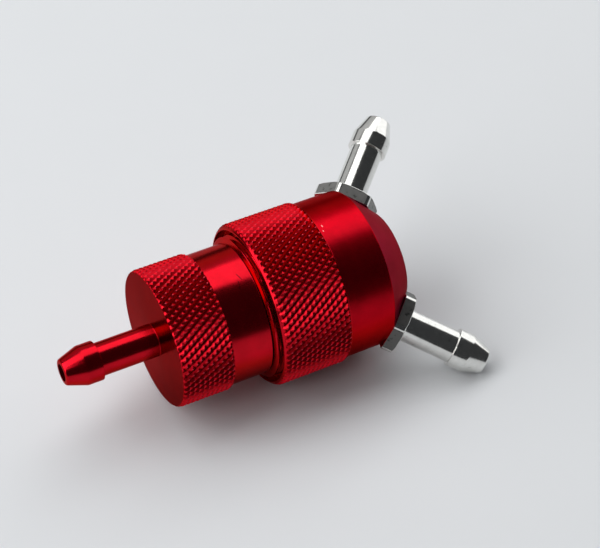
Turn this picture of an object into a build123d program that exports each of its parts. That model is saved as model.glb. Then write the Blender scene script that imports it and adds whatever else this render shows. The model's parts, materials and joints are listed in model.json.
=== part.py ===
"""Inline fuel filter for a model engine: a knurled screw cap with the inlet barb, a knurled housing with a
cone, and two outlet nipples. It lies on its side as it comes to rest, on the housing's knurl and the lower
nipple. The origin is on the filter's axis in the middle of the inlet barb's land, and +X runs towards the
cone."""

from build123d import *
from math import atan, cos, radians, sin, sqrt, tan
import os

# Hose barbs: a cone, a short straight land with a broken edge and a thinner shank that the hose grips.
barb_tip_radius = 1.75
barb_cone_length = 2.8
barb_land_radius = 2.7
barb_land_length = 2.1
barb_land_edge = 0.1
barb_shank_radius = 2.25
barb_bore_radius = 1.2
barb_tip_rounding = 0.25

# Screw thread between cap and housing, drawn as plain cylinders on its crests.
thread_radius = 10.0
thread_pitch = 1.0
thread_turns = 5
thread_depth = 0.9
thread_clearance = 0.1
thread_runout = 0.8

# Diamond knurls: a grid of crests and valleys, with a crest beside a valley all the way round and along.
knurl_depth = 0.35
knurl_row = 0.84

# Cap: the inlet barb, a knurled grip, a plain neck, a threaded shank and a nose that carries the seal.
inlet_shank_length = 8.1
cap_knurl_rise = 0.4
cap_knurl_width = 7.3
cap_knurl_diamonds = 60
cap_edge_chamfer = 0.3
exposed_neck = 6.4
neck_end_before_rim = 0.85
cap_face_wall = 3.0
nose_clearance = 0.1
nose_wall = 1.7
nose_edge_chamfer = 0.3
groove_from_thread = 0.9
groove_width = 1.6
nose_after_groove = 1.5

# Housing: a rim with a wide mouth, a knurled grip, a plain band and a 45 degree cone.
mouth_wall = 0.65
mouth_depth = 1.4
rim_wall = 0.15
rim_chamfer = 0.55
housing_knurl_width = 9.8
housing_knurl_diamonds = 72
housing_crest_below_edge = 0.02
band_step = 0.4
band_width = 6.6
cone_angle = 45
cone_end_radius = 6.45
cone_edge_rounding = 0.3
cone_wall = 3.0
end_wall = 2.0
shoulder_width = 1.7

# Seal ring in the nose's groove, drawn at its squeezed size.
cap_ring_section = 1.2
ring_gap = 0.05

# Brass collar in the nose's bore, trapped in front of the housing's shoulder, and its mesh thimble.
seat_gap = 0.06
collar_flange_gap = 0.5
collar_flange_thickness = 0.6
collar_sleeve_length = 1.5
collar_wall = 0.85
screen_wall = 0.25
screen_reach = 2.2
screen_end_rounding = 1.0

# Outlet nipples: a hexagon on a spot face of the cone, a barb outwards and a threaded stub inwards.
nipple_spacing = 180
hexagon_across_flats = 8.0
hexagon_thickness = 1.7
hexagon_chamfer_radius = 4.15
hexagon_chamfer_angle = 25
hexagon_turn = {"upper": 0, "lower": 43}
spot_face_radius = 4.8
spot_face_depth = 0.5
nipple_land_from_seat = 9.2
stub_radius = 2.5
stub_gap = 0.05
nipple_ring_section = 0.8
nipple_ring_recess_depth = 0.9

# Radii that follow from the thread, outwards to the grip and inwards to the nose, its groove and its bore.
male_thread_radius = thread_radius - thread_clearance
neck_radius = thread_radius - thread_depth
cap_knurl_radius = neck_radius + cap_knurl_rise
mouth_radius = thread_radius + mouth_wall
housing_knurl_radius = mouth_radius + rim_wall + rim_chamfer
band_radius = housing_knurl_radius - band_step
seal_bore_radius = thread_radius - thread_depth
outlet_chamber_radius = seal_bore_radius - shoulder_width
nose_radius = seal_bore_radius - nose_clearance
groove_radius = seal_bore_radius - cap_ring_section - 2 * ring_gap
cap_ring_radius = seal_bore_radius - ring_gap - cap_ring_section / 2
cap_chamber_radius = groove_radius - nose_wall
collar_flange_radius = seal_bore_radius - collar_flange_gap
collar_sleeve_radius = cap_chamber_radius - ring_gap
collar_bore_radius = collar_sleeve_radius - collar_wall
screen_radius = collar_bore_radius - ring_gap
nipple_ring_radius = stub_radius + ring_gap + nipple_ring_section / 2
nipple_ring_recess_radius = nipple_ring_radius + nipple_ring_section / 2 + ring_gap

# Stations along the axis, from the inlet's tip to the end of the cone.
inlet_tip_x = -barb_land_length / 2 - barb_cone_length
cap_face_x = barb_land_length / 2 + inlet_shank_length
neck_start_x = cap_face_x + cap_knurl_width
rim_x = neck_start_x + exposed_neck
neck_end_x = rim_x - neck_end_before_rim
mouth_floor_x = rim_x + mouth_depth
thread_end_x = mouth_floor_x + thread_turns * thread_pitch
groove_x = thread_end_x + groove_from_thread
nose_end_x = groove_x + groove_width + nose_after_groove
female_thread_end_x = thread_end_x + thread_runout
shoulder_x = nose_end_x + collar_flange_thickness + 2 * seat_gap
cap_chamber_x = cap_face_x + cap_face_wall
knurl_end_x = rim_x + housing_knurl_width
band_end_x = knurl_end_x + band_width
cone_slope = tan(radians(cone_angle))
cone_end_x = band_end_x + (band_radius - cone_end_radius) / cone_slope
outlet_chamber_end_x = cone_end_x - end_wall

# The chamber's cone runs parallel to the outer one, a wall's thickness inside it.
inner_band_radius = band_radius - cone_wall / cos(radians(cone_angle))
inner_cone_x = band_end_x + (inner_band_radius - outlet_chamber_radius) / cone_slope
outlet_chamber_end_radius = inner_band_radius - (outlet_chamber_end_x - band_end_x) * cone_slope

# Nipple seats: their middle is halfway down the cone, a spot face's depth below it.
nipple_lean = 90 - cone_angle
nipple_lean_along = cos(radians(nipple_lean))
nipple_lean_out = sin(radians(nipple_lean))
seat_x = (band_end_x + cone_end_x) / 2 - spot_face_depth * nipple_lean_along
seat_radius = (band_radius + cone_end_radius) / 2 - spot_face_depth * nipple_lean_out
stub_length = cone_wall - spot_face_depth
nipple_land_end = nipple_land_from_seat + barb_land_length
nipple_tip = nipple_land_end + barb_cone_length

# The floor runs under the flat between two corners of the housing grip's plain edges.
housing_knurl_turn = 180 / housing_knurl_diamonds
floor_depth = housing_knurl_radius * cos(radians(housing_knurl_turn))


def resting_angle():
    """The angle of the lower nipple below the level, in degrees, where its rounded tip and the housing's knurl
    share a floor."""
    flank = atan((barb_land_radius - barb_tip_radius) / barb_cone_length)
    rounding_radius = barb_tip_radius - barb_tip_rounding * (1 - sin(flank)) / cos(flank)
    rounding_reach = seat_radius + (nipple_tip - barb_tip_rounding) * nipple_lean_out
    low, high = 0, 90
    while high - low > 1e-9:
        angle = (low + high) / 2
        drop = sin(radians(angle))
        across_tip = rounding_radius * sqrt(1 - (nipple_lean_out * drop) ** 2)
        if rounding_reach * drop + across_tip + barb_tip_rounding < floor_depth:
            low = angle
        else:
            high = angle
    return low


lower_angle = 180 + resting_angle()
nipple_angles = {"upper": lower_angle - nipple_spacing, "lower": lower_angle}


def across(x):
    """The plane square to the filter's axis at a station."""
    return Plane(origin=(x, 0, 0), x_dir=(0, 1, 0), z_dir=(1, 0, 0))


def nipple_seat(side, turn=0):
    """The plane of a spot face, with its normal along the nipple. Its x direction is up the cone, before a turn
    in degrees about that normal."""
    angle = radians(nipple_angles[side])
    outward = Vector(0, cos(angle), sin(angle))
    along = Vector(1, 0, 0)
    middle = along * seat_x + outward * seat_radius
    normal = along * nipple_lean_along + outward * nipple_lean_out
    up_cone = outward * nipple_lean_along - along * nipple_lean_out
    return Plane(origin=middle, x_dir=up_cone.rotate(Axis((0, 0, 0), normal), turn), z_dir=normal)


def barb_profile(land_start, shank_end):
    """Half the section of a barb whose tip points to lower x, from its tip to the end of its shank."""
    land_end = land_start + barb_land_length
    tip = land_start - barb_cone_length
    return [
        (tip, 0),
        (tip, barb_tip_radius),
        (land_start, barb_land_radius),
        (land_end, barb_land_radius),
        (land_end + barb_land_edge, barb_land_radius - barb_land_edge),
        (land_end + barb_land_edge, barb_shank_radius),
        (shank_end, barb_shank_radius),
    ]


def knurled_grip(start, end, radius, diamonds, chamfers, below_edge=0, turn=0):
    """A solid grip of cut diamonds, chamfered at its start and its end and turned in degrees about its axis.
    Crests that lie below the edge leave the grip's two ends plain, with a corner in line with every other
    crest."""
    half = 180 / diamonds
    knurl_start = start + chamfers[0]
    knurl_length = end - chamfers[1] - knurl_start
    rows = round(knurl_length / knurl_row)
    crest = radius - below_edge
    valley = radius - knurl_depth
    rings = []
    for row in range(rows + 1):
        radii = (valley, crest) if row % 2 == 0 else (crest, valley)
        if below_edge and row in (0, rows):
            radii = (radius, radius * cos(radians(half)))
        rings.append((knurl_start + knurl_length / rows * row, radii))
    for x, chamfer, place in ((start, chamfers[0], 0), (end, chamfers[1], -1)):
        if chamfer:
            even, odd = rings[place][1]
            lowered = (min(odd, radius - chamfer), min(even, radius - chamfer))
            rings.insert(len(rings) if place else 0, (x, lowered))
    columns = range(2 * diamonds)
    outlines = []
    for x, radii in rings:
        points = []
        for column in columns:
            angle = radians(turn + column * half)
            points.append(Vector(x, radii[column % 2] * cos(angle), radii[column % 2] * sin(angle)))
        outlines.append(points)
    faces = [Face(Wire.make_polygon(outlines[0][::-1])), Face(Wire.make_polygon(outlines[-1]))]
    for row, (near, far) in enumerate(zip(outlines, outlines[1:])):
        near_radii, far_radii = rings[row][1], rings[row + 1][1]
        for column in columns:
            beside = (column + 1) % len(columns)
            corners = [near[column], near[beside], far[beside], far[column]]
            falling = near_radii[column % 2] + far_radii[beside % 2]
            rising = near_radii[beside % 2] + far_radii[column % 2]
            first = 0 if falling < rising else 1
            for corner in (first, first + 2):
                triangle = [corners[corner], corners[(corner + 1) % 4], corners[(corner + 2) % 4]]
                faces.append(Face(Wire.make_polygon(triangle)))
    return Solid(Shell(faces))


def finish(piece, name):
    """Label a finished piece and write its STEP file."""
    piece.part.label = name
    export_step(piece.part, f"parts/{name}.step")


os.makedirs("parts", exist_ok=True)

# Inlet cap: one turned piece, bored through from the barb into a wide chamber, with a knurled grip.
cap_chamfers = (cap_edge_chamfer, cap_edge_chamfer)
with BuildPart() as inlet_cap:
    add(knurled_grip(cap_face_x, neck_start_x, cap_knurl_radius, cap_knurl_diamonds, cap_chamfers))
    with BuildSketch(Plane.XY):
        with BuildLine():
            Polyline(
                *barb_profile(-barb_land_length / 2, cap_face_x + cap_edge_chamfer),
                (cap_face_x + cap_edge_chamfer, neck_radius),
                (neck_end_x, neck_radius),
                (neck_end_x + thread_pitch / 2, male_thread_radius),
                (thread_end_x - thread_pitch / 2, male_thread_radius),
                (thread_end_x, nose_radius),
                (groove_x, nose_radius),
                (groove_x, groove_radius),
                (groove_x + groove_width, groove_radius),
                (groove_x + groove_width, nose_radius),
                (nose_end_x - nose_edge_chamfer, nose_radius),
                (nose_end_x, nose_radius - nose_edge_chamfer),
                (nose_end_x, 0),
                close=True,
            )
        make_face()
    revolve(axis=Axis.X)
    with BuildSketch(across(nose_end_x)):
        Circle(cap_chamber_radius)
    extrude(amount=cap_chamber_x - nose_end_x, mode=Mode.SUBTRACT)
    with BuildSketch(across(cap_chamber_x)):
        Circle(barb_bore_radius)
    extrude(amount=inlet_tip_x - cap_chamber_x, mode=Mode.SUBTRACT)
    tip_edges = inlet_cap.edges().filter_by(GeomType.CIRCLE).group_by(Axis.X)[0]
    fillet(tip_edges.sort_by(SortBy.RADIUS)[-1], barb_tip_rounding)
finish(inlet_cap, "inlet_cap")

# Seal ring of the cap, round in section.
with BuildPart() as cap_o_ring:
    with BuildSketch(Plane.XY):
        with Locations((groove_x + groove_width / 2, cap_ring_radius)):
            Circle(cap_ring_section / 2)
    revolve(axis=Axis.X)
finish(cap_o_ring, "cap_o_ring")

# Screen collar: a sleeve in the nose's bore with a flange in front of the nose.
collar_flange_x = nose_end_x + seat_gap
with BuildPart() as screen_collar:
    with BuildSketch(across(collar_flange_x)):
        Circle(collar_flange_radius)
        Circle(collar_bore_radius, mode=Mode.SUBTRACT)
    extrude(amount=collar_flange_thickness)
    with BuildSketch(across(collar_flange_x)):
        Circle(collar_sleeve_radius)
        Circle(collar_bore_radius, mode=Mode.SUBTRACT)
    extrude(amount=-collar_sleeve_length)
finish(screen_collar, "screen_collar")

# Filter screen: a thimble of wire mesh with a closed, rounded end.
screen_x = collar_flange_x - collar_sleeve_length
screen_end_x = collar_flange_x + collar_flange_thickness + screen_reach
with BuildPart() as filter_screen:
    with BuildSketch(across(screen_x)):
        Circle(screen_radius)
    extrude(amount=screen_end_x - screen_x)
    fillet(filter_screen.edges().sort_by(Axis.X)[-1], screen_end_rounding)
    offset(amount=-screen_wall, openings=filter_screen.faces().sort_by(Axis.X)[0])
finish(filter_screen, "filter_screen")

# Housing: knurled and turned outside, turned inside, then spot faced, recessed and drilled for each nipple.
with BuildPart() as housing:
    add(
        knurled_grip(
            rim_x,
            knurl_end_x,
            housing_knurl_radius,
            housing_knurl_diamonds,
            (rim_chamfer, 0),
            below_edge=housing_crest_below_edge,
            turn=housing_knurl_turn,
        )
    )
    with BuildSketch(Plane.XY):
        with BuildLine():
            Polyline(
                (rim_x + rim_chamfer, 0),
                (rim_x + rim_chamfer, band_radius),
                (band_end_x, band_radius),
                (cone_end_x, cone_end_radius),
                (cone_end_x, 0),
                close=True,
            )
        make_face()
    revolve(axis=Axis.X)
    with BuildSketch(Plane.XY):
        with BuildLine():
            Polyline(
                (rim_x - mouth_depth, 0),
                (rim_x - mouth_depth, mouth_radius),
                (mouth_floor_x, mouth_radius),
                (mouth_floor_x, thread_radius),
                (female_thread_end_x, thread_radius),
                (female_thread_end_x, seal_bore_radius),
                (shoulder_x, seal_bore_radius),
                (shoulder_x, outlet_chamber_radius),
                (inner_cone_x, outlet_chamber_radius),
                (outlet_chamber_end_x, outlet_chamber_end_radius),
                (outlet_chamber_end_x, 0),
                close=True,
            )
        make_face()
    revolve(axis=Axis.X, mode=Mode.SUBTRACT)
    end_edges = housing.edges().filter_by(GeomType.CIRCLE).group_by(Axis.X)[-1]
    fillet(end_edges, cone_edge_rounding)
    for side in nipple_angles:
        seat = nipple_seat(side)
        with BuildSketch(seat):
            Circle(spot_face_radius)
        extrude(amount=band_radius, mode=Mode.SUBTRACT)
        with BuildSketch(seat):
            Circle(nipple_ring_recess_radius)
        extrude(amount=-nipple_ring_recess_depth, mode=Mode.SUBTRACT)
        with BuildSketch(seat):
            Circle(stub_radius + stub_gap)
        extrude(amount=-2 * cone_wall, mode=Mode.SUBTRACT)
finish(housing, "housing")

# Outlet nipples: a chamfered hexagon with a barb above and a stub below, bored through.
hexagon_chamfer_drop = hexagon_across_flats * tan(radians(hexagon_chamfer_angle))
for side in nipple_angles:
    seat = nipple_seat(side, hexagon_turn[side])
    section = Plane(origin=seat.origin, x_dir=seat.z_dir, z_dir=seat.y_dir)
    nipple_axis = Axis(seat.origin, seat.z_dir)
    with BuildPart() as outlet_nipple:
        with BuildSketch(seat):
            RegularPolygon(hexagon_across_flats / 2, 6, major_radius=False)
        extrude(amount=hexagon_thickness)
        with BuildSketch(section):
            with BuildLine():
                Polyline(
                    (hexagon_thickness, 0),
                    (hexagon_thickness, hexagon_chamfer_radius),
                    (hexagon_thickness - hexagon_chamfer_drop, hexagon_chamfer_radius + hexagon_across_flats),
                    (hexagon_thickness - hexagon_chamfer_drop, 0),
                    close=True,
                )
            make_face()
        revolve(axis=nipple_axis, mode=Mode.INTERSECT)
        with BuildSketch(section):
            with BuildLine():
                Polyline(
                    (-stub_length, 0),
                    (-stub_length, stub_radius),
                    (0, stub_radius),
                    (0, barb_shank_radius),
                    (nipple_land_from_seat - barb_land_edge, barb_shank_radius),
                    (nipple_land_from_seat - barb_land_edge, barb_land_radius - barb_land_edge),
                    (nipple_land_from_seat, barb_land_radius),
                    (nipple_land_end, barb_land_radius),
                    (nipple_tip, barb_tip_radius),
                    (nipple_tip, 0),
                    close=True,
                )
            make_face()
        revolve(axis=nipple_axis)
        with BuildSketch(seat.offset(nipple_tip)):
            Circle(barb_bore_radius)
        extrude(amount=-(nipple_tip + stub_length), mode=Mode.SUBTRACT)
        tip_edges = outlet_nipple.edges().filter_by(GeomType.CIRCLE).group_by(nipple_axis)[-1]
        fillet(tip_edges.sort_by(SortBy.RADIUS)[-1], barb_tip_rounding)
    finish(outlet_nipple, f"outlet_nipple_{side}")

    # Seal ring round the stub, in the recess under the hexagon.
    with BuildPart() as outlet_seal:
        with BuildSketch(section):
            with Locations((-nipple_ring_recess_depth / 2, nipple_ring_radius)):
                Circle(nipple_ring_section / 2)
        revolve(axis=nipple_axis)
    finish(outlet_seal, f"outlet_seal_{side}")

print(f"lower nipple {lower_angle - 180:.3f} degrees below the level, floor at z {-floor_depth:.4f}")
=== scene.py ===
"""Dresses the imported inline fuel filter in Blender: a red anodised cap and housing with cut knurls and a
screw thread, and bright nickel-plated outlet nipples, lying on a pale floor in soft studio light."""

import json
from math import ceil, cos, hypot, pi, radians, sin, sqrt, tan

import bmesh
import bpy
from mathutils import Matrix, Vector


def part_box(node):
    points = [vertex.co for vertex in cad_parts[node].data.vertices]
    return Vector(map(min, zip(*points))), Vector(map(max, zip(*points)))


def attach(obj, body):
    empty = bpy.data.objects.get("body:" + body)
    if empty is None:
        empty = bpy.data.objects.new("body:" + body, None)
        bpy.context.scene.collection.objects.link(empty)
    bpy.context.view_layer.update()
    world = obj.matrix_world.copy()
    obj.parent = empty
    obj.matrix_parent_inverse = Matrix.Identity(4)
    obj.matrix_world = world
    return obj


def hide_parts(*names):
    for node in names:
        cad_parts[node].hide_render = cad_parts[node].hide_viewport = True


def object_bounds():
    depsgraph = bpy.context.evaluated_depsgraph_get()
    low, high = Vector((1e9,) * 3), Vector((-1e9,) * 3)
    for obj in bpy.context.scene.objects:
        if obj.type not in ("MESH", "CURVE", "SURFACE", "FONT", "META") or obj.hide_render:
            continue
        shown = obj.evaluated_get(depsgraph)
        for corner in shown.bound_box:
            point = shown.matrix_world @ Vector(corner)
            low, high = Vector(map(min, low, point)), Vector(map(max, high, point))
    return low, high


bl_info = {
    "name": "Inline fuel filter",
    "version": (1, 0, 0),
    "blender": (4, 5, 0),
    "location": "3D View > Sidebar > Fuel filter",
    "description": "Builds the looks of a knurled inline fuel filter with three hose barbs",
    "category": "Object",
}

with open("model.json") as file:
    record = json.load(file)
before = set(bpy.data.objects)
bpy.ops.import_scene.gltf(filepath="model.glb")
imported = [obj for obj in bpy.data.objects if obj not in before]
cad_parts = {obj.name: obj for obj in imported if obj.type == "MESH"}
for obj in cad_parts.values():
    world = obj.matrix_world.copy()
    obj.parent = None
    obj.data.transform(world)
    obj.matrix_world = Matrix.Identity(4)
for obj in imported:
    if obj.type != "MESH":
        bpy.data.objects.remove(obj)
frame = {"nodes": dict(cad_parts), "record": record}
cad_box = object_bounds()

# Sizes are millimetres in the row frame, and every mesh is scaled to metres as it is made.
MM = 0.001


def box_mm(node):
    """Lowest and highest corner of a CAD node in millimetres."""
    low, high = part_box(node)
    return low / MM, high / MM


def mount(name):
    """Place in millimetres and outward direction of a hose barb's mount."""
    for entry in frame["record"]["mounts"]:
        if entry["name"] == name:
            return Vector(entry["pos_m"]) / MM, Vector(entry["axis"]).normalized()
    raise RuntimeError(f"the record has no mount named {name}")


CAP_LOW, CAP_HIGH = box_mm("inlet_cap")
HOUSING_LOW, HOUSING_HIGH = box_mm("housing")

# Hose barb, the same on the cap and on both nipples.
BARB_LAND = 2.1
BARB_CONE = 2.8
BARB_TIP_RADIUS = 1.75
BARB_TIP_ROUNDING = 0.25
BARB_LAND_RADIUS = 2.7
BARB_LAND_ROUNDING = 0.12
BARB_SHANK_RADIUS = 2.25
BARB_BORE_RADIUS = 1.2

# Cap, from its face to the end of its nose.
INLET_SHANK = 8.1
INLET_SHANK_FILLET = 0.08
INLET_HEEL_ROUNDING = 0.06
CAP_KNURL_RADIUS = 9.5
CAP_KNURL_WIDTH = 7.3
CAP_KNURL_START = 0.02
CAP_EDGE_CHAMFER = 0.3
CAP_EDGE_ROUNDING = 0.06
CAP_REAR_CHAMFER = 0.1
CAP_FACE_WALL = 3.0
CAP_CHAMBER_RADIUS = 6.1
NECK_RADIUS = 9.1
NECK_END_ROUNDING = 0.12
NECK_BEFORE_RIM = 0.85
NOSE_RADIUS = 9.0
NOSE_ROUNDING = 0.3
GROOVE_RADIUS = 7.8
GROOVE_WIDTH = 1.6
GROOVE_FROM_THREAD = 0.9
NOSE_AFTER_GROOVE = 1.5
CAP_FACE_X = BARB_LAND / 2 + INLET_SHANK
CAP_NECK_X = CAP_FACE_X + CAP_KNURL_WIDTH
NOSE_END_X = CAP_HIGH.x
GROOVE_END_X = NOSE_END_X - NOSE_AFTER_GROOVE
GROOVE_X = GROOVE_END_X - GROOVE_WIDTH
CAP_THREAD_END_X = GROOVE_X - GROOVE_FROM_THREAD

# Housing, from its rim to the end of its cone.
HOUSING_KNURL_RADIUS = 11.35
HOUSING_KNURL_WIDTH = 9.8
HOUSING_KNURL_START = 0.15
RIM_CHAMFER = 0.55
RIM_ROUNDING = 0.06
MOUTH_RADIUS = 10.65
MOUTH_DEPTH = 1.4
MOUTH_FILLET = 0.1
RIM_STATIONS = (0.27, 0.4, RIM_CHAMFER)
PLAIN_EDGE_WIDTH = 0.13
PLAIN_EDGE_DROP = 0.04
PLAIN_EDGE_RISE = 0.025
PLAIN_EDGE_ROUNDING = 0.03
BAND_RADIUS = 10.95
BAND_WIDTH = 6.6
BAND_ROUNDING = 0.12
BAND_FOOT_FILLET = 0.02
CONE_END_RADIUS = 6.45
CONE_EDGE_ROUNDING = 0.3
CONE_WALL = 3.0
END_WALL = 2.0
SEAL_BORE_RADIUS = 9.1
OUTLET_CHAMBER_RADIUS = 7.4
COLLAR_ROOM = 0.72
RIM_X = HOUSING_LOW.x
NECK_END_X = RIM_X - NECK_BEFORE_RIM
MOUTH_FLOOR_X = RIM_X + MOUTH_DEPTH
KNURL_END_X = RIM_X + HOUSING_KNURL_WIDTH
BAND_END_X = KNURL_END_X + BAND_WIDTH
CONE_END_X = HOUSING_HIGH.x
OUTLET_CHAMBER_END_X = CONE_END_X - END_WALL
SHOULDER_X = NOSE_END_X + COLLAR_ROOM

# Screw thread between cap and housing: right-handed, one turn a millimetre. The shares are of the half
# turn from the middle of its root to the middle of its crest.
THREAD_PITCH = 1.0
THREAD_CREST_RADIUS = 9.9
THREAD_MOUTH_RADIUS = 10.0
THREAD_LEAD_IN = 0.25
THREAD_RUNOUT = 0.8
THREAD_ROOT_SHARE = 0.12
THREAD_FLANK_SHARE = 0.7
THREAD_STEPS = 12
THREAD_MARGIN = 0.02
THREAD_HOUSING_END_X = CAP_THREAD_END_X + THREAD_RUNOUT

# Diamond knurls, each cut by two sets of spiral grooves that cross. A lean is one set's grooves per
# millimetre along the axis, for the deeper set first. The leans follow the photo.
KNURL_LEANS = {"housing": (0.67, -0.72), "cap": (0.605, -0.835)}
# From the middle of a groove to the flat beside it, as a share of the way to the next groove.
KNURL_SIDE = 0.42
# How far the body lies below the grooves, and how far the end wall of the diamonds reaches into it.
KNURL_BODY_DROP = 0.02
KNURL_WALL_DROP = 0.03

# Nipples: hexagon, stub, and what is cut into the cone for them.
SIDES = ("upper", "lower")
HEXAGON_FLATS = 8.0
HEXAGON_THICKNESS = 1.7
HEXAGON_CHAMFER_RADIUS = 4.15
HEXAGON_CHAMFER_ANGLE = 25
HEXAGON_CORNER_REACH = 4.49
HEXAGON_FOOT_CHAMFER = 0.08
NIPPLE_HEEL_ROUNDING = 0.07
LAND_FROM_SEAT = 9.2
STUB_RADIUS = 2.5
STUB_LENGTH = 2.5
SPOT_FACE_RADIUS = 4.8
SPOT_HOLE_RADIUS = 2.55
RING_RECESS_RADIUS = 3.4
RING_RECESS_DEPTH = 0.9

# What every turned piece shares: its smallest broken edge, and how finely it is divided.
BROKEN_EDGE = 0.05
TURNED_SEGMENTS = 256
NIPPLE_SEGMENTS = 144
CUTTER_SEGMENTS = 96

# Angles in degrees above which an edge shows as sharp.
SHARP_TURNED = 32
SHARP_NIPPLE = 24
SHARP_KNURL = 12

# How faces are picked out for a finish of their own. The last two are parts of a face's normal.
NEAR = 0.05
BESIDE = 0.2
OUTER_SKIN = 0.5
BAND_CORNER_X = BAND_END_X + 0.03
ALONG_AXIS = 0.8
ACROSS_AXIS = 0.2

# Finishes. Heights of bumps are in metres, noise scales are per metre, and the reach of the lighter
# crests is in millimetres. A shade is how much of the full colour a darker region has.
TOOL_MARK_HEIGHT = 0.04 * MM
TOOL_MARK_SCALE = 9000
DYE_PATCH_SCALE = 420
DYE_PATCH_SHADE = 0.78
# The knurls' crests turn a lighter, pinker red: partly dye rubbed off, partly a painted glint.
WEAR_AND_GLINT_SCALE = 1700
WEAR_AND_GLINT_BELOW_CREST = 0.05
WEAR_AND_GLINT_FADE = 0.06
WORN_AND_GLINT_RED = (0.70, 0.09, 0.13)
KNURL_ROUGHNESS = 0.28
FLAW_EDGE_SCALE = 2600
# The cap face's red is darkened: painted shade.
FACE_PAINTED_SHADE = 0.45
# The band's red is darkened: painted shade that dims its highlight.
BAND_PAINTED_SHADE = 0.84
PLATE_RING_SCALE = 5200
PLATE_RING_HEIGHT = 0.03 * MM
PLATE_PIT_SCALE = 1500
PLATE_PIT_HEIGHT = 0.04 * MM
# The hexagons' sides are a darker, rougher plate, and the lower hexagon's sides are darker still, which is
# painted shade.
HEXAGON_DULL_AND_PAINTED_SHADE = {"upper": 0.38, "lower": 0.2}
GRAIN_HEIGHT = 0.05 * MM

# Flaws in the red: place and half sizes in millimetres, turn in degrees, and colour.
SCRATCH_RED = (0.05, 0.001, 0.003)
LIGHT_SPECK_RED = (0.7, 0.25, 0.24)
SPECK_RED = (0.02, 0.002, 0.004)
NECK_SCRATCHES = (
    ((20.45, -2.6, 8.72), (0.05, 0.60, 0.12), (17, 0, 20), SCRATCH_RED),
    ((20.0, -3.5, 8.40), (0.035, 0.75, 0.12), (25, 0, -12), SCRATCH_RED),
)
# Two small light specks on the band.
BAND_LIGHT_SPECKS = (
    ((33.39, -1.04, 10.90), (0.08, 0.18, 0.12), (0, 0, 15), LIGHT_SPECK_RED),
    ((33.15, -1.85, 10.79), (0.06, 0.13, 0.12), (0, 0, 0), LIGHT_SPECK_RED),
)
CONE_SPECKS = (
    ((41.05, -5.12, 6.18), (0.16, 0.16, 0.16), (0, 0, 0), SPECK_RED),
)

# Stage, in metres and watts. Each lamp has its direction from the filter, its width and height, and
# its power.
FLOOR_HALF_WIDTH = 1.2
SURROUND_COLOUR = (0.92, 0.95, 1.0, 1)
SURROUND_STRENGTH = 0.04
LAMPS_AIM = (0.029, 0.0, 0.0)
LAMP_DISTANCE = 0.7
LAMPS = {
    "key_softbox": ((-0.08, 0.305, 0.94), (1.20, 0.51), 3.4),
    "back_softbox": ((0.20, 0.82, 0.53), (1.15, 0.50), 0.8),
    "left_softbox": ((-0.85, 0.10, 0.52), (0.80, 0.70), 4.4),
    "right_softbox": ((0.85, 0.35, 0.40), (0.60, 0.60), 1.4),
}

# Camera, fitted to the photo: two of its own axes in the row frame, what it looks at and from how far.
CAMERA_RIGHT = (0.886800, -0.462168, 0.005450)
CAMERA_BACK = (-0.337220, -0.638853, 0.691492)
CAMERA_AIM = (0.028857, -0.003554, 0.006327)
CAMERA_DISTANCE = 0.26194
CAMERA_LENS = 120
CAMERA_SENSOR = 36


class FilterSizes(bpy.types.PropertyGroup):
    """Sizes of the cut forms that can change without moving a piece."""

    cap_diamonds: bpy.props.IntProperty(
        name="Cap diamonds", description="Diamonds round the cap's grip",
        default=60, min=12, max=200,
    )
    housing_diamonds: bpy.props.IntProperty(
        name="Housing diamonds", description="Diamonds round the housing's grip",
        default=72, min=12, max=200,
    )
    knurl_depth: bpy.props.FloatProperty(
        name="Knurl depth", description="Depth of the knurls' deeper set of grooves",
        subtype="DISTANCE", unit="LENGTH", precision=5, default=0.38 * MM, min=0.05 * MM, max=0.4 * MM,
    )
    knurl_shallow_depth: bpy.props.FloatProperty(
        name="Shallow knurl depth", description="Depth of the set of grooves that crosses it",
        subtype="DISTANCE", unit="LENGTH", precision=5, default=0.18 * MM, min=0.05 * MM, max=0.4 * MM,
    )
    thread_depth: bpy.props.FloatProperty(
        name="Thread depth", description="Depth of the cap's screw thread",
        subtype="DISTANCE", unit="LENGTH", precision=5, default=0.55 * MM, min=0.1 * MM, max=0.75 * MM,
    )


class FilterFinishes(bpy.types.PropertyGroup):
    """Colours and gloss of the filter's surfaces."""

    red: bpy.props.FloatVectorProperty(
        name="Red", description="Colour of the anodised aluminium",
        subtype="COLOR", size=4, default=(0.62, 0.003, 0.014, 1.0), min=0.0, max=1.0,
    )
    edge_tint: bpy.props.FloatVectorProperty(
        name="Edge tint", description="Colour of the anodised aluminium seen at a flat angle",
        subtype="COLOR", size=4, default=(0.55, 0.03, 0.06, 1.0), min=0.0, max=1.0,
    )
    red_roughness: bpy.props.FloatProperty(
        name="Red roughness", description="Roughness of the turned red surfaces",
        subtype="FACTOR", default=0.19, min=0.0, max=0.6,
    )
    # The cone's red is darker and bluer than the rest: painted shade and a painted bluish reflection. Its
    # rough satin gloss is its own.
    cone_painted_shade_red: bpy.props.FloatVectorProperty(
        name="Cone red", description="Colour of the duller cone",
        subtype="COLOR", size=4, default=(0.34, 0.035, 0.07, 1.0), min=0.0, max=1.0,
    )
    nickel: bpy.props.FloatVectorProperty(
        name="Nickel", description="Colour of the plated nipples",
        subtype="COLOR", size=4, default=(0.82, 0.82, 0.79, 1.0), min=0.0, max=1.0,
    )
    floor: bpy.props.FloatVectorProperty(
        name="Floor", description="Colour of the pale floor",
        subtype="COLOR", size=4, default=(0.74, 0.76, 0.78, 1.0), min=0.0, max=1.0,
    )


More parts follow.
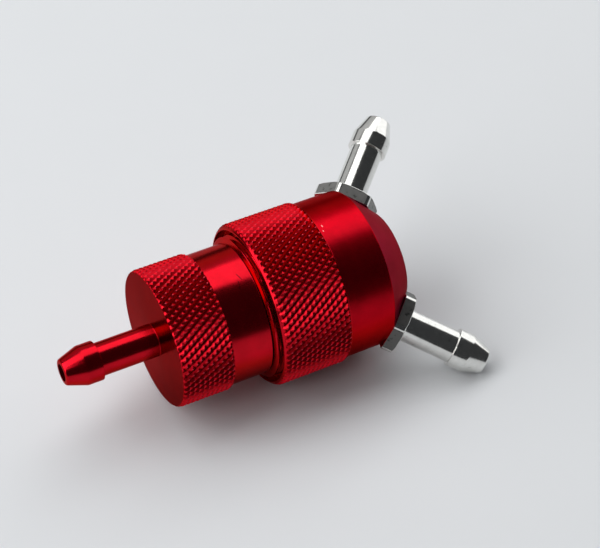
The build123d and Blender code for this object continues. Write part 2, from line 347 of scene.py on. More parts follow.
def rounded(corners, steps=4):
    """An outline through corners (x, radius, rounding), each rounding drawn as a short curve."""
    points = []
    for i, (x, r, rounding) in enumerate(corners):
        corner = Vector((x, r))
        if rounding == 0 or i in (0, len(corners) - 1):
            points.append(corner)
            continue
        before = Vector(corners[i - 1][:2]) - corner
        after = Vector(corners[i + 1][:2]) - corner
        reach = min(rounding, 0.45 * before.length, 0.45 * after.length)
        start = corner + before.normalized() * reach
        end = corner + after.normalized() * reach
        for step in range(steps + 1):
            t = step / steps
            points.append(start * (1 - t) ** 2 + corner * 2 * t * (1 - t) + end * t ** 2)
    return points


def finer(outline, start, end, step):
    """The outline with extra points between two x stations, so that a thread can be cut there."""
    points = [outline[0]]
    for last, point in zip(outline, outline[1:]):
        inside = min(last.x, point.x) >= start - 1e-6 and max(last.x, point.x) <= end + 1e-6
        if inside and abs(point.x - last.x) > step:
            count = ceil(abs(point.x - last.x) / step)
            points += [last.lerp(point, i / count) for i in range(1, count)]
        points.append(point)
    return points


def make_piece(name, skin, materials, body, place=Matrix.Identity(4), sharp=SHARP_TURNED):
    """Links a skin as an object in metres, smooth shaded with sharp edges, riding on a body."""
    bmesh.ops.recalc_face_normals(skin, faces=skin.faces)
    mesh = bpy.data.meshes.new(name)
    skin.to_mesh(mesh)
    skin.free()
    mesh.transform(Matrix.Scale(MM, 4) @ place)
    mesh.shade_smooth()
    mesh.set_sharp_from_angle(angle=radians(sharp))
    for material in materials:
        mesh.materials.append(material)
    piece = bpy.data.objects.new(name, mesh)
    bpy.context.scene.collection.objects.link(piece)
    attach(piece, body)
    return piece


def give_material(skin, number, wanted):
    """Gives the piece's material of that number to each face for which wanted(middle, normal) holds."""
    skin.normal_update()
    for face in skin.faces:
        if wanted(face.calc_center_median(), face.normal):
            face.material_index = number


def turned(outline, segments, reshape=None):
    """A closed lathe skin about the X axis. reshape(x, r, angle) may change a point's radius."""
    skin = bmesh.new()
    rings = []
    for point in outline:
        if point.y < 1e-6:
            rings.append([skin.verts.new((point.x, 0, 0))])
            continue
        ring = []
        for i in range(segments):
            angle = 2 * pi * i / segments
            r = reshape(point.x, point.y, angle) if reshape else point.y
            ring.append(skin.verts.new((point.x, r * cos(angle), r * sin(angle))))
        rings.append(ring)
    pairs = list(zip(rings, rings[1:]))
    if len(rings[0]) > 1 and len(rings[-1]) > 1:
        pairs.append((rings[-1], rings[0]))
    for a, b in pairs:
        for i in range(segments):
            j = (i + 1) % segments
            corners = [a[i % len(a)], a[j % len(a)], b[j % len(b)], b[i % len(b)]]
            unique = list(dict.fromkeys(corners))
            if len(unique) > 2:
                skin.faces.new(unique)
    return skin


def thread_wave(x, angle):
    """Height of a right-handed screw thread, 1 on its crest and 0 at its root."""
    turn = (x / THREAD_PITCH - angle / (2 * pi)) % 1
    from_root = abs(turn - 0.5) * 2
    return min(1, max(0, (from_root - THREAD_ROOT_SHARE) / THREAD_FLANK_SHARE))


def knurl_skin(sizes, kind, start, end, stations, limit):
    """A grip of cut diamonds as an open skin between two x stations, with a wall down to its grooves at
    the end. limit(x) gives the crests' radius there, and stations are where chamfers bend it."""
    deep = sizes.knurl_depth / MM
    shallow = sizes.knurl_shallow_depth / MM
    radius = limit((start + end) / 2)
    around = getattr(sizes, f"{kind}_diamonds")
    leans = KNURL_LEANS[kind]
    row = 1 / (leans[0] - leans[1])

    # One diamond in its own coordinates: u and v count the grooves of either set, and each face is a list
    # of corners (u, v, depth). The crease is where the deeper groove's side meets the shallower groove.
    low, high = KNURL_SIDE, 1 - KNURL_SIDE
    crease = KNURL_SIDE * (1 - shallow / deep)
    flat = [(low, low, 0), (high, low, 0), (high, high, 0), (low, high, 0)]
    deep_side = [
        (0, 0, deep), (crease, 0, shallow), (low, low, 0), (low, high, 0), (crease, 1, shallow), (0, 1, deep),
    ]
    shallow_side = [(crease, 0, shallow), (1 - crease, 0, shallow), (high, low, 0), (low, low, 0)]
    faces = [flat, deep_side, shallow_side]
    faces += [[(1 - u, 1 - v, depth) for u, v, depth in face] for face in (deep_side, shallow_side)]

    skin = bmesh.new()
    made = {}

    def corner_at(u, v, depth):
        """The vertex there. Corners on the same thousandth of a diamond are one vertex."""
        key = (round(u * 1000) % (1000 * around), round((u - v) * 1000))
        if key not in made:
            x = start + (u - v) * row
            angle = 2 * pi * (u - leans[0] * (x - start)) / around
            made[key] = skin.verts.new((x, (radius - depth) * cos(angle), (radius - depth) * sin(angle)))
        return made[key]

    for line in range(ceil((end - start) / row) + 1):
        for column in range(around):
            for face in faces:
                corners = [corner_at(column + u, column - line + v, depth) for u, v, depth in face]
                skin.faces.new(corners)
    for x in (start, end, *stations):
        whole = skin.verts[:] + skin.edges[:] + skin.faces[:]
        bmesh.ops.bisect_plane(
            skin, geom=whole, dist=1e-6, plane_co=(x, 0, 0), plane_no=(1, 0, 0),
            clear_outer=x == end, clear_inner=x == start,
        )

    def at_end(edge):
        return edge.is_boundary and all(abs(vert.co.x - end) < 1e-4 for vert in edge.verts)

    wall = bmesh.ops.extrude_edge_only(skin, edges=[edge for edge in skin.edges if at_end(edge)])["geom"]
    for vert in skin.verts:
        r = hypot(vert.co.y, vert.co.z)
        vert.co.yz = vert.co.yz * (min(r, limit(vert.co.x)) / r)
    for part in wall:
        if isinstance(part, bmesh.types.BMVert):
            part.co.yz = part.co.yz.normalized() * (radius - deep - KNURL_WALL_DROP)
    return skin


def shade(colour, share):
    """A colour made darker."""
    return [share * channel for channel in colour[:3]]


class Finish:
    """A material of one Principled shader, with helpers that add nodes and wire them."""

    def __init__(self, name):
        self.material = bpy.data.materials.new(name)
        self.material.use_nodes = True
        self.nodes = self.material.node_tree.nodes
        self.links = self.material.node_tree.links
        self.surface = self.nodes["Principled BSDF"]

    def node(self, kind, **settings):
        """A new node. Each setting is one of its own or the value of an input."""
        made = self.nodes.new(kind)
        for name, value in settings.items():
            if hasattr(made, name):
                setattr(made, name, value)
            else:
                made.inputs[name.replace("_", " ")].default_value = value
        return made

    def wire(self, source, output, target, socket):
        self.links.new(source.outputs[output], target.inputs[socket])

    def set(self, **values):
        """Sets inputs of the shader itself."""
        for name, value in values.items():
            self.surface.inputs[name.replace("_", " ")].default_value = value

    def noise(self, coordinates, **settings):
        """Noise over the object coordinates."""
        made = self.node("ShaderNodeTexNoise", **settings)
        self.wire(coordinates, "Object", made, "Vector")
        return made

    def bump(self, heights, strength, distance):
        """Bump from a noise node's heights."""
        made = self.node("ShaderNodeBump", Strength=strength, Distance=distance)
        self.wire(heights, "Fac", made, "Height")
        return made

    def roughness(self, source, least, most):
        """Lets the shader's roughness follow a noise node."""
        gloss = self.node("ShaderNodeMapRange", To_Min=least, To_Max=most)
        self.wire(source, "Fac", gloss, "Value")
        self.wire(gloss, "Result", self.surface, "Roughness")

    def calculate(self, operation, first, second=None):
        """The result of a Math node fed by sockets or numbers."""
        made = self.node("ShaderNodeMath", operation=operation)
        for place, value in enumerate((first, second)):
            if value is None:
                continue
            if isinstance(value, (int, float)):
                made.inputs[place].default_value = value
            else:
                self.links.new(value, made.inputs[place])
        return made.outputs[0]

    def ramp(self, source, stops):
        """A colour ramp fed by a noise node, with stops (position, colour)."""
        made = self.node("ShaderNodeValToRGB")
        elements = made.color_ramp.elements
        while len(elements) < len(stops):
            elements.new(0.5)
        for element, (position, colour) in zip(elements, stops):
            element.position = position
            element.color = list(colour[:3]) + [1]
        self.wire(source, "Fac", made, "Fac")
        return made.outputs["Color"]

    def mix(self, share, below, above):
        """A colour laid over the one below by a mask."""
        made = self.node("ShaderNodeMix", data_type="RGBA")
        self.links.new(share, made.inputs["Factor"])
        self.links.new(below, made.inputs[6])
        made.inputs[7].default_value = list(above) + [1]
        return made.outputs[2]


def along_and_radius(finish, coordinates):
    """A point's place along the X axis and its distance from it, in metres."""
    split = finish.node("ShaderNodeSeparateXYZ")
    finish.wire(coordinates, "Object", split, "Vector")
    y_squared = finish.calculate("MULTIPLY", split.outputs["Y"], split.outputs["Y"])
    z_squared = finish.calculate("MULTIPLY", split.outputs["Z"], split.outputs["Z"])
    radius = finish.calculate("SQRT", finish.calculate("ADD", y_squared, z_squared))
    return split.outputs["X"], radius


def tool_marks(finish, along, radius):
    """Noise for the fine rings left by the lathe tool, which varies only along the axis and outward."""
    combine = finish.node("ShaderNodeCombineXYZ")
    finish.links.new(finish.calculate("MULTIPLY", along, TOOL_MARK_SCALE), combine.inputs["X"])
    finish.links.new(finish.calculate("MULTIPLY", radius, TOOL_MARK_SCALE), combine.inputs["Y"])
    noise = finish.node("ShaderNodeTexNoise", Scale=1.0, Detail=3.0, Roughness=0.7)
    finish.wire(combine, "Vector", noise, "Vector")
    return noise


def wear_and_glint(finish, coordinates, radius, crest_radius):
    """A patchy mask that grows from the sides of a knurl's diamonds to their crests, for a lighter red there:
    partly rubbed-off dye, partly a painted glint.
    """
    grain = finish.noise(coordinates, Scale=WEAR_AND_GLINT_SCALE, Detail=3.0)
    above = finish.calculate("SUBTRACT", radius, (crest_radius - WEAR_AND_GLINT_BELOW_CREST) * MM)
    height = finish.calculate("MULTIPLY", above, 1 / (WEAR_AND_GLINT_FADE * MM))
    worn_and_glint = finish.calculate("MULTIPLY", height, grain.outputs["Fac"])
    worn_and_glint.node.use_clamp = True
    return worn_and_glint


def flaw(finish, coordinates, place, half_sizes, turn):
    """A mask that is 1 inside a small ellipsoid with ragged edges, for a scratch or a speck."""
    ragged = finish.noise(coordinates, Scale=FLAW_EDGE_SCALE, Detail=3.0)
    placed = finish.node("ShaderNodeMapping", vector_type="TEXTURE")
    placed.inputs["Location"].default_value = [value * MM for value in place]
    placed.inputs["Rotation"].default_value = [radians(value) for value in turn]
    placed.inputs["Scale"].default_value = [value * MM for value in half_sizes]
    finish.wire(coordinates, "Object", placed, "Vector")
    length = finish.node("ShaderNodeVectorMath", operation="LENGTH")
    finish.wire(placed, "Vector", length, "Vector")
    with_noise = finish.calculate("ADD", length.outputs["Value"], ragged.outputs["Fac"])
    return finish.calculate("LESS_THAN", finish.calculate("SUBTRACT", with_noise, 0.5), 1.0)


def red_anodised(name, colour, edge_tint, roughness, marks, coat, worn_and_glint_radius=None, flaws=()):
    """Dyed oxide over turned aluminium: a red metal with tool marks, lighter on crests where the dye is
    thinner and where a glint is painted, and broken by small flaws."""
    finish = Finish(name)
    coordinates = finish.node("ShaderNodeTexCoord")
    along, radius = along_and_radius(finish, coordinates)
    rings = tool_marks(finish, along, radius)
    finish.wire(finish.bump(rings, marks, TOOL_MARK_HEIGHT), "Normal", finish.surface, "Normal")
    finish.roughness(rings, roughness * 0.85, roughness * 1.2)
    patches = finish.noise(coordinates, Scale=DYE_PATCH_SCALE, Detail=5.0, Roughness=0.6)
    tone = finish.ramp(patches, ((0.3, shade(colour, DYE_PATCH_SHADE)), (0.72, colour)))
    if worn_and_glint_radius:
        tone = finish.mix(wear_and_glint(finish, coordinates, radius, worn_and_glint_radius), tone, WORN_AND_GLINT_RED)
    for place, half_sizes, turn, flaw_colour in flaws:
        tone = finish.mix(flaw(finish, coordinates, place, half_sizes, turn), tone, flaw_colour)
    finish.links.new(tone, finish.surface.inputs["Base Color"])
    finish.set(Metallic=1.0, Coat_Weight=coat, Coat_Roughness=0.2, Specular_Tint=edge_tint)
    return finish.material


def nickel_plate(name, colour, outward, roughness=0.1, pitting=0.1, pitted=0.27):
    """Nickel over turned brass, with rings about the direction outward and scattered dark pits."""
    finish = Finish(name)
    coordinates = finish.node("ShaderNodeTexCoord")
    along = finish.node("ShaderNodeVectorMath", operation="DOT_PRODUCT")
    along.inputs[1].default_value = outward
    finish.wire(coordinates, "Object", along, "Vector")
    rings = finish.node("ShaderNodeTexNoise", noise_dimensions="1D", Scale=PLATE_RING_SCALE, Detail=3.0)
    finish.wire(along, "Value", rings, "W")
    pits = finish.noise(coordinates, Scale=PLATE_PIT_SCALE, Detail=4.0, Roughness=0.65)
    bump = finish.bump(pits, pitting, PLATE_PIT_HEIGHT)
    finish.wire(finish.bump(rings, 0.12, PLATE_RING_HEIGHT), "Normal", bump, "Normal")
    finish.wire(bump, "Normal", finish.surface, "Normal")
    finish.roughness(pits, roughness, roughness * 1.8)
    stops = ((pitted, shade(colour, 0.4)), (pitted + 0.06, shade(colour, 0.9)), (0.7, colour))
    finish.links.new(finish.ramp(pits, stops), finish.surface.inputs["Base Color"])
    finish.set(Metallic=1.0)
    return finish.material


def grained(name, colour, metallic, roughness, scale, strength):
    """A simple grained finish for the pieces inside."""
    finish = Finish(name)
    coordinates = finish.node("ShaderNodeTexCoord")
    grain = finish.noise(coordinates, Scale=scale, Detail=4.0)
    finish.wire(finish.bump(grain, strength, GRAIN_HEIGHT), "Normal", finish.surface, "Normal")
    tone = finish.ramp(grain, ((0.0, shade(colour, 0.8)), (1.0, colour)))
    finish.links.new(tone, finish.surface.inputs["Base Color"])
    finish.set(Metallic=metallic, Roughness=roughness)
    return finish.material


def cap_outline(knurl_depth):
    """The cap's outline from the mouth of its bore to the floor of its chamber, without the diamonds."""
    valley = CAP_KNURL_RADIUS - knurl_depth
    corners = [
        (CAP_LOW.x, BARB_BORE_RADIUS, 0),
        (CAP_LOW.x, BARB_TIP_RADIUS, BARB_TIP_ROUNDING),
        (-BARB_LAND / 2, BARB_LAND_RADIUS, BARB_LAND_ROUNDING),
        (BARB_LAND / 2, BARB_LAND_RADIUS, INLET_HEEL_ROUNDING),
        (BARB_LAND / 2, BARB_SHANK_RADIUS, BROKEN_EDGE),
        (CAP_FACE_X, BARB_SHANK_RADIUS, INLET_SHANK_FILLET),
        (CAP_FACE_X, CAP_KNURL_RADIUS - CAP_EDGE_CHAMFER, CAP_EDGE_ROUNDING),
        (CAP_FACE_X + CAP_EDGE_CHAMFER, valley, 0),
        (CAP_NECK_X - CAP_REAR_CHAMFER, valley, 0),
        (CAP_NECK_X, NECK_RADIUS, 0),
        (NECK_END_X, NECK_RADIUS, NECK_END_ROUNDING),
        (NECK_END_X + THREAD_LEAD_IN, THREAD_CREST_RADIUS, 0),
        (CAP_THREAD_END_X, THREAD_CREST_RADIUS, 0),
        (CAP_THREAD_END_X, NOSE_RADIUS, BROKEN_EDGE),
        (GROOVE_X, NOSE_RADIUS, BROKEN_EDGE),
        (GROOVE_X, GROOVE_RADIUS, BROKEN_EDGE),
        (GROOVE_END_X, GROOVE_RADIUS, BROKEN_EDGE),
        (GROOVE_END_X, NOSE_RADIUS, BROKEN_EDGE),
        (NOSE_END_X, NOSE_RADIUS, NOSE_ROUNDING),
        (NOSE_END_X, CAP_CHAMBER_RADIUS, BROKEN_EDGE),
        (CAP_FACE_X + CAP_FACE_WALL, CAP_CHAMBER_RADIUS, 0),
        (CAP_FACE_X + CAP_FACE_WALL, BARB_BORE_RADIUS, 0),
    ]
    return finer(rounded(corners), NECK_END_X, CAP_THREAD_END_X, THREAD_PITCH / THREAD_STEPS)


def cap_crest(x):
    """Radius of the cap's crests, less its chamfers at the face and at the neck."""
    front = max(0, CAP_EDGE_CHAMFER - (x - CAP_FACE_X))
    rear = max(0, CAP_REAR_CHAMFER - (CAP_NECK_X - x))
    return CAP_KNURL_RADIUS - front - rear


class BuildCap(bpy.types.Operator):
    """Build the knurled cap with its inlet barb, neck, thread and nose"""

    bl_idname = "filter.cap"
    bl_label = "Inlet cap"

    def execute(self, context):
        sizes = context.scene.filter_sizes
        colours = context.scene.filter_finishes
        red, tint = colours.red, colours.edge_tint
        turned_red = red_anodised(
            "red_turned", red, tint, roughness=colours.red_roughness, marks=0.2, coat=0.1,
            flaws=NECK_SCRATCHES,
        )
        # The face's darker red is painted shade.
        face_red = red_anodised(
            "red_face", shade(red, FACE_PAINTED_SHADE), tint, roughness=0.16, marks=0.12, coat=0.05,
        )
        knurl_red = red_anodised(
            "red_cap_knurl", red, tint, roughness=KNURL_ROUGHNESS, marks=0.1, coat=0.1,
            worn_and_glint_radius=CAP_KNURL_RADIUS,
        )
        thread_depth = sizes.thread_depth / MM

        def cut_thread(x, r, angle):
            stands_out = r > NECK_RADIUS + THREAD_MARGIN
            if not stands_out or not NECK_END_X < x < CAP_THREAD_END_X - THREAD_MARGIN:
                return r
            fade = min(1, (CAP_THREAD_END_X - x) / THREAD_PITCH)
            return r - thread_depth * (1 - thread_wave(x, angle) * fade)

        def on_face(at, normal):
            return abs(at.x - CAP_FACE_X) < NEAR and abs(normal.x) > ALONG_AXIS

        skin = turned(cap_outline(sizes.knurl_depth / MM), TURNED_SEGMENTS, cut_thread)
        give_material(skin, 1, on_face)
        piece = make_piece("cap_turned", skin, [turned_red, face_red], "cap")
        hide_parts("inlet_cap")

        stations = [CAP_FACE_X + share * CAP_EDGE_CHAMFER for share in (1 / 3, 2 / 3, 1)]
        stations.append(CAP_NECK_X - CAP_REAR_CHAMFER)
        skin = knurl_skin(sizes, "cap", CAP_FACE_X + CAP_KNURL_START, CAP_NECK_X, stations, cap_crest)
        make_piece("cap_knurl", skin, [knurl_red], "cap", sharp=SHARP_KNURL)
        return {"FINISHED"}


def housing_outline(knurl_depth):
    """The housing's outline from its rim over the cone and back through its inside, without the diamonds."""
    below_valley = HOUSING_KNURL_RADIUS - knurl_depth - KNURL_BODY_DROP
    edge_radius = HOUSING_KNURL_RADIUS - PLAIN_EDGE_DROP
    inner_band = BAND_RADIUS - CONE_WALL * sqrt(2)
    inner_cone_x = BAND_END_X + inner_band - OUTLET_CHAMBER_RADIUS
    return rounded([
        (RIM_X, MOUTH_RADIUS, 0),
        (RIM_X, HOUSING_KNURL_RADIUS - RIM_CHAMFER, RIM_ROUNDING),
        (RIM_X + RIM_CHAMFER - knurl_depth, below_valley, 0),
        (KNURL_END_X - PLAIN_EDGE_WIDTH, below_valley, 0),
        (KNURL_END_X - PLAIN_EDGE_WIDTH, edge_radius + PLAIN_EDGE_RISE, 0),
        (KNURL_END_X, edge_radius, PLAIN_EDGE_ROUNDING),
        (KNURL_END_X, BAND_RADIUS, BAND_FOOT_FILLET),
        (BAND_END_X, BAND_RADIUS, BAND_ROUNDING),
        (CONE_END_X, CONE_END_RADIUS, CONE_EDGE_ROUNDING),
        (CONE_END_X, 0, 0),
        (OUTLET_CHAMBER_END_X, 0, 0),
        (OUTLET_CHAMBER_END_X, inner_band - (OUTLET_CHAMBER_END_X - BAND_END_X), 0),
        (inner_cone_x, OUTLET_CHAMBER_RADIUS, 0),
        (SHOULDER_X, OUTLET_CHAMBER_RADIUS, 0),
        (SHOULDER_X, SEAL_BORE_RADIUS, 0),
        (THREAD_HOUSING_END_X, SEAL_BORE_RADIUS, 0),
        (THREAD_HOUSING_END_X, THREAD_MOUTH_RADIUS, 0),
        (MOUTH_FLOOR_X, THREAD_MOUTH_RADIUS, 0),
        (MOUTH_FLOOR_X, MOUTH_RADIUS, MOUTH_FILLET),
        (RIM_X, MOUTH_RADIUS, 0),
    ])


def housing_crest(x):
    """Radius of the housing's crests, less the chamfer at its rim."""
    return HOUSING_KNURL_RADIUS - max(0, RIM_CHAMFER - (x - RIM_X))


def on_cone(at, normal):
    """Whether a face of the housing belongs to the cone or its end."""
    on_slope = at.x > BAND_CORNER_X and hypot(at.y, at.z) > BAND_RADIUS - (at.x - BAND_END_X) - OUTER_SKIN
    return on_slope or at.x > CONE_END_X - NEAR


def on_band(at, normal):
    """Whether a face of the housing belongs to the smooth band."""
    return KNURL_END_X < at.x < BAND_CORNER_X and hypot(at.y, at.z) > BAND_RADIUS - OUTER_SKIN


class BuildHousing(bpy.types.Operator):
    """Build the knurled housing with its mouth, band, cone and spot faces"""

    bl_idname = "filter.housing"
    bl_label = "Housing"

    def execute(self, context):
        sizes = context.scene.filter_sizes
        colours = context.scene.filter_finishes
        red, tint = colours.red, colours.edge_tint
        turned_red = bpy.data.materials["red_turned"]
        # The cone's darker, bluish red is painted shade and a painted reflection.
        cone_painted_shade_red = red_anodised(
            "red_cone", colours.cone_painted_shade_red, tint, roughness=0.42, marks=0.2, coat=0.05, flaws=CONE_SPECKS,
        )
        # The band's darker red is painted shade that dims its highlight.
        band_red = red_anodised(
            "red_band", shade(red, BAND_PAINTED_SHADE), tint, roughness=colours.red_roughness * 1.6, marks=0.2,
            coat=0.03, flaws=BAND_LIGHT_SPECKS,
        )
        knurl_red = red_anodised(
            "red_housing_knurl", red, tint, roughness=KNURL_ROUGHNESS, marks=0.1, coat=0.1,
            worn_and_glint_radius=HOUSING_KNURL_RADIUS,
        )

        skin = turned(housing_outline(sizes.knurl_depth / MM), TURNED_SEGMENTS)
        bmesh.ops.remove_doubles(skin, verts=skin.verts, dist=1e-5)
        give_material(skin, 1, on_cone)
        give_material(skin, 2, on_band)
        finishes = [turned_red, cone_painted_shade_red, band_red]
        body = make_piece("housing_turned", skin, finishes, "housing")
        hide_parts("housing")
        cut_spot_faces(body)

        stations = [RIM_X + reach for reach in RIM_STATIONS]
        start, end = RIM_X + HOUSING_KNURL_START, KNURL_END_X - PLAIN_EDGE_WIDTH / 2
        skin = knurl_skin(sizes, "housing", start, end, stations, housing_crest)
        make_piece("housing_knurl", skin, [knurl_red], "housing", sharp=SHARP_KNURL)
        return {"FINISHED"}


def nipple_place(side):
    """The matrix that takes a nipple built along +X from the origin to its seat on the cone."""
    land_middle, outward = mount(f"outlet_barb_{side}")
    seat = land_middle - outward * (LAND_FROM_SEAT + BARB_LAND / 2)
    radial = Vector((0, outward.y, outward.z)).normalized()
    up_cone = (radial - outward * radial.dot(outward)).normalized()
    beside = outward.cross(up_cone)
    turn = Matrix((outward, up_cone, beside)).transposed().to_4x4()
    return Matrix.Translation(seat) @ turn


def cut_spot_faces(body):
    """Cuts each nipple's spot face, ring recess and threaded hole out of the cone."""
    outline = [
        Vector((-2 * CONE_WALL, 0)),
        Vector((-2 * CONE_WALL, SPOT_HOLE_RADIUS)),
        Vector((-RING_RECESS_DEPTH, SPOT_HOLE_RADIUS)),
        Vector((-RING_RECESS_DEPTH, RING_RECESS_RADIUS)),
        Vector((0, RING_RECESS_RADIUS)),
        Vector((0, SPOT_FACE_RADIUS)),
        Vector((BAND_RADIUS, SPOT_FACE_RADIUS)),
        Vector((BAND_RADIUS, 0)),
    ]
    for side in SIDES:
        skin = turned(outline, CUTTER_SEGMENTS)
        bmesh.ops.recalc_face_normals(skin, faces=skin.faces)
        mesh = bpy.data.meshes.new("cutter")
        skin.to_mesh(mesh)
        skin.free()
        mesh.transform(Matrix.Scale(MM, 4) @ nipple_place(side))
        cutter = bpy.data.objects.new("cutter", mesh)
        bpy.context.scene.collection.objects.link(cutter)
        cut = body.modifiers.new("spot_face", "BOOLEAN")
        cut.operation = "DIFFERENCE"
        cut.object = cutter
        cut.solver = "EXACT"
        bpy.context.view_layer.update()
        evaluated = body.evaluated_get(bpy.context.evaluated_depsgraph_get())
        result = bpy.data.meshes.new_from_object(evaluated)
        body.modifiers.clear()
        body.data = result
        bpy.data.objects.remove(cutter)
    body.data.set_sharp_from_angle(angle=radians(SHARP_TURNED))


def hexagon_reach(angle):
    """Distance from a hexagon's axis to its side at an angle, with a corner at zero. Corners are cut off."""
    away = (angle + pi / 6) % (pi / 3) - pi / 6
    side = HEXAGON_FLATS / 2 / cos(pi / 6 - abs(away))
    return min(side, HEXAGON_CORNER_REACH)


def on_hexagon_side(at, normal):
    """Whether a face of a nipple that is built along +X is one of its hexagon's sides."""
    between = HEXAGON_FLATS / 2 - BESIDE < hypot(at.y, at.z) < HEXAGON_CORNER_REACH - NEAR
    return between and at.x > NEAR and abs(normal.x) < ACROSS_AXIS


def nipple_skin():
    """A nipple along +X: stub, chamfered hexagon, shank and barb, with its bore."""
    drop = tan(radians(HEXAGON_CHAMFER_ANGLE))

    def chamfer_x(angle):
        return HEXAGON_THICKNESS - max(0, hexagon_reach(angle) - HEXAGON_CHAMFER_RADIUS) * drop

    tip = LAND_FROM_SEAT + BARB_LAND + BARB_CONE
    stem = rounded([
        (HEXAGON_THICKNESS, BARB_SHANK_RADIUS, 0),
        (LAND_FROM_SEAT, BARB_SHANK_RADIUS, BROKEN_EDGE),
        (LAND_FROM_SEAT, BARB_LAND_RADIUS, NIPPLE_HEEL_ROUNDING),
        (LAND_FROM_SEAT + BARB_LAND, BARB_LAND_RADIUS, BARB_LAND_ROUNDING),
        (tip, BARB_TIP_RADIUS, BARB_TIP_ROUNDING),
        (tip, BARB_BORE_RADIUS, 0),
    ])
    top_reach = HEXAGON_CHAMFER_RADIUS
    rings = [
        lambda angle: (-STUB_LENGTH, BARB_BORE_RADIUS),
        lambda angle: (-STUB_LENGTH, STUB_RADIUS),
        lambda angle: (0, STUB_RADIUS),
        lambda angle: (0, hexagon_reach(angle) - HEXAGON_FOOT_CHAMFER),
        lambda angle: (HEXAGON_FOOT_CHAMFER, hexagon_reach(angle)),
        lambda angle: (chamfer_x(angle) - BROKEN_EDGE, hexagon_reach(angle)),
        lambda angle: (chamfer_x(angle) + 0.4 * BROKEN_EDGE, hexagon_reach(angle) - BROKEN_EDGE),
        lambda angle: (HEXAGON_THICKNESS, min(top_reach, hexagon_reach(angle) - HEXAGON_FOOT_CHAMFER)),
    ]
    rings += [lambda angle, point=point: (point.x, point.y) for point in stem]
    skin = bmesh.new()
    made = []
    for ring in rings:
        verts = []
        for i in range(NIPPLE_SEGMENTS):
            angle = 2 * pi * i / NIPPLE_SEGMENTS
            x, r = ring(angle)
            verts.append(skin.verts.new((x, r * cos(angle), r * sin(angle))))
        made.append(verts)
    for a, b in zip(made, made[1:] + made[:1]):
        for i in range(NIPPLE_SEGMENTS):
            j = (i + 1) % NIPPLE_SEGMENTS
            skin.faces.new((a[i], a[j], b[j], b[i]))
    return skin


class BuildNipples(bpy.types.Operator):
    """Build the two plated outlet nipples"""

    bl_idname = "filter.nipples"
    bl_label = "Outlet nipples"

    def execute(self, context):
        nickel = context.scene.filter_finishes.nickel
        for side in SIDES:
            outward = mount(f"outlet_barb_{side}")[1]
            plate = nickel_plate(f"bright_nickel_{side}", nickel, outward)
            # The sides' darker colour is partly their rougher finish and partly painted shade, more so on the
            # lower nipple.
            dark = shade(nickel, HEXAGON_DULL_AND_PAINTED_SHADE[side])
            dull_and_shaded = nickel_plate(
                f"dull_shaded_nickel_{side}", dark, outward, roughness=0.36, pitting=0.6, pitted=0.36,
            )
            skin = nipple_skin()
            give_material(skin, 1, on_hexagon_side)
            piece = make_piece(
                f"nipple_{side}", skin, [plate, dull_and_shaded], "housing",
                place=nipple_place(side), sharp=SHARP_NIPPLE,
            )
            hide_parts(f"outlet_nipple_{side}")
        return {"FINISHED"}


class FinishInside(bpy.types.Operator):
    """Give the seals, the collar and the screen inside their finishes"""

    bl_idname = "filter.inside"
    bl_label = "Inside pieces"

    def execute(self, context):
        rubber = grained(
            "seal_rubber", (0.03, 0.03, 0.03), metallic=0.0, roughness=0.6, scale=900, strength=0.2,
        )
        brass = grained(
            "collar_brass", (0.72, 0.53, 0.24), metallic=1.0, roughness=0.3, scale=500, strength=0.05,
        )
        wire = grained(
            "screen_wire", (0.55, 0.55, 0.53), metallic=1.0, roughness=0.45, scale=3000, strength=0.6,
        )
        finishes = {
            "cap_o_ring": rubber,
            "outlet_seal_upper": rubber,
            "outlet_seal_lower": rubber,
            "screen_collar": brass,
            "filter_screen": wire,
        }
        for node, material in finishes.items():
            mesh = frame["nodes"][node].data
            mesh.materials.clear()
            mesh.materials.append(material)
        return {"FINISHED"}


def lay_floor(scene):
    """A wide pale floor that the filter lies on."""
    half = FLOOR_HALF_WIDTH
    corners = [(-half, -half), (half, -half), (half, half), (-half, half)]
    mesh = bpy.data.meshes.new("floor")
    mesh.from_pydata([(x, y, cad_box[0].z) for x, y in corners], [], [(0, 1, 2, 3)])
    floor = bpy.data.objects.new("floor", mesh)
    scene.collection.objects.link(floor)
    finish = Finish("pale_floor")
    grain = finish.noise(finish.node("ShaderNodeTexCoord"), Scale=90.0, Detail=3.0)
    pale = scene.filter_finishes.floor
    tone = finish.ramp(grain, ((0.0, shade(pale, 0.985)), (1.0, pale)))
    finish.links.new(tone, finish.surface.inputs["Base Color"])
    finish.set(Roughness=0.55)
    mesh.materials.append(finish.material)


def light(scene):
    """A faint pale surround and the soft lamps."""
    world = bpy.data.worlds.new("soft_surround")
    world.use_nodes = True
    background = world.node_tree.nodes["Background"]
    background.inputs["Color"].default_value = SURROUND_COLOUR
    background.inputs["Strength"].default_value = SURROUND_STRENGTH
    scene.world = world
    middle = Vector(LAMPS_AIM)
    for name, (towards, (width, height), power) in LAMPS.items():
        softbox = bpy.data.lights.new(name, "AREA")
        softbox.shape = "RECTANGLE"
        softbox.size = width
        softbox.size_y = height
        softbox.energy = power
        lamp = bpy.data.objects.new(name, softbox)
        lamp.location = middle + Vector(towards).normalized() * LAMP_DISTANCE
        lamp.rotation_mode = "QUATERNION"
        lamp.rotation_quaternion = (middle - lamp.location).to_track_quat("-Z", "Y")
        scene.collection.objects.link(lamp)


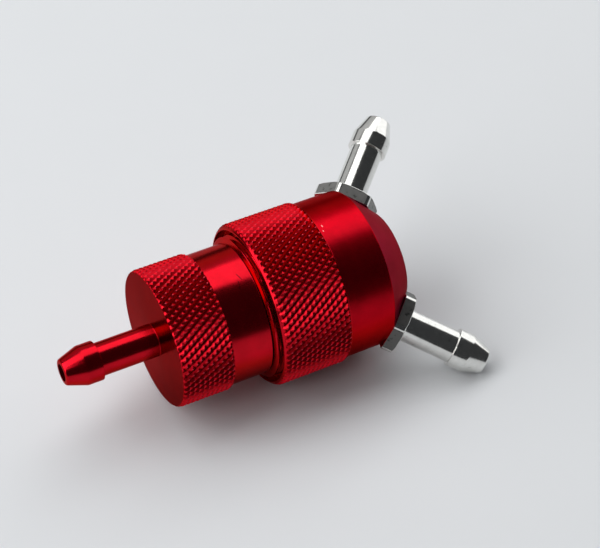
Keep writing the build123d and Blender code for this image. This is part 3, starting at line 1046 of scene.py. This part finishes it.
def place_camera(scene):
    """The camera at the photo's viewing angle."""
    data = bpy.data.cameras.new("camera")
    data.lens = CAMERA_LENS
    data.sensor_width = CAMERA_SENSOR
    data.clip_start = 0.01
    data.clip_end = 10
    camera = bpy.data.objects.new("camera", data)
    right = Vector(CAMERA_RIGHT).normalized()
    back = Vector(CAMERA_BACK).normalized()
    camera.location = Vector(CAMERA_AIM) + back * CAMERA_DISTANCE
    camera.rotation_mode = "QUATERNION"
    camera.rotation_quaternion = Matrix((right, back.cross(right), back)).transposed().to_quaternion()
    scene.collection.objects.link(camera)
    scene.camera = camera


class BuildStage(bpy.types.Operator):
    """Lay the floor and place the lamps and the camera"""

    bl_idname = "filter.stage"
    bl_label = "Stage"

    def execute(self, context):
        lay_floor(context.scene)
        light(context.scene)
        place_camera(context.scene)
        context.scene.view_settings.view_transform = "Standard"
        return {"FINISHED"}


class FilterPanel(bpy.types.Panel):
    """Lists the filter's sizes, finishes and pieces"""

    bl_label = "Fuel filter"
    bl_idname = "VIEW3D_PT_fuel_filter"
    bl_space_type = "VIEW_3D"
    bl_region_type = "UI"
    bl_category = "Fuel filter"

    def draw(self, context):
        for group, kind in GROUPS.items():
            for name in kind.__annotations__:
                self.layout.prop(getattr(context.scene, group), name)
        for operator in OPERATORS:
            self.layout.operator(operator.bl_idname)


GROUPS = {"filter_sizes": FilterSizes, "filter_finishes": FilterFinishes}
OPERATORS = (BuildCap, BuildHousing, BuildNipples, FinishInside, BuildStage)


def register():
    for name, kind in GROUPS.items():
        bpy.utils.register_class(kind)
        setattr(bpy.types.Scene, name, bpy.props.PointerProperty(type=kind))
    for kind in (*OPERATORS, FilterPanel):
        bpy.utils.register_class(kind)


def unregister():
    for kind in (FilterPanel, *reversed(OPERATORS)):
        bpy.utils.unregister_class(kind)
    for name, kind in GROUPS.items():
        delattr(bpy.types.Scene, name)
        bpy.utils.unregister_class(kind)


def main():
    register()
    bpy.ops.filter.cap()
    bpy.ops.filter.housing()
    bpy.ops.filter.nipples()
    bpy.ops.filter.inside()
    bpy.ops.filter.stage()


if __name__ == "__main__":
    main()
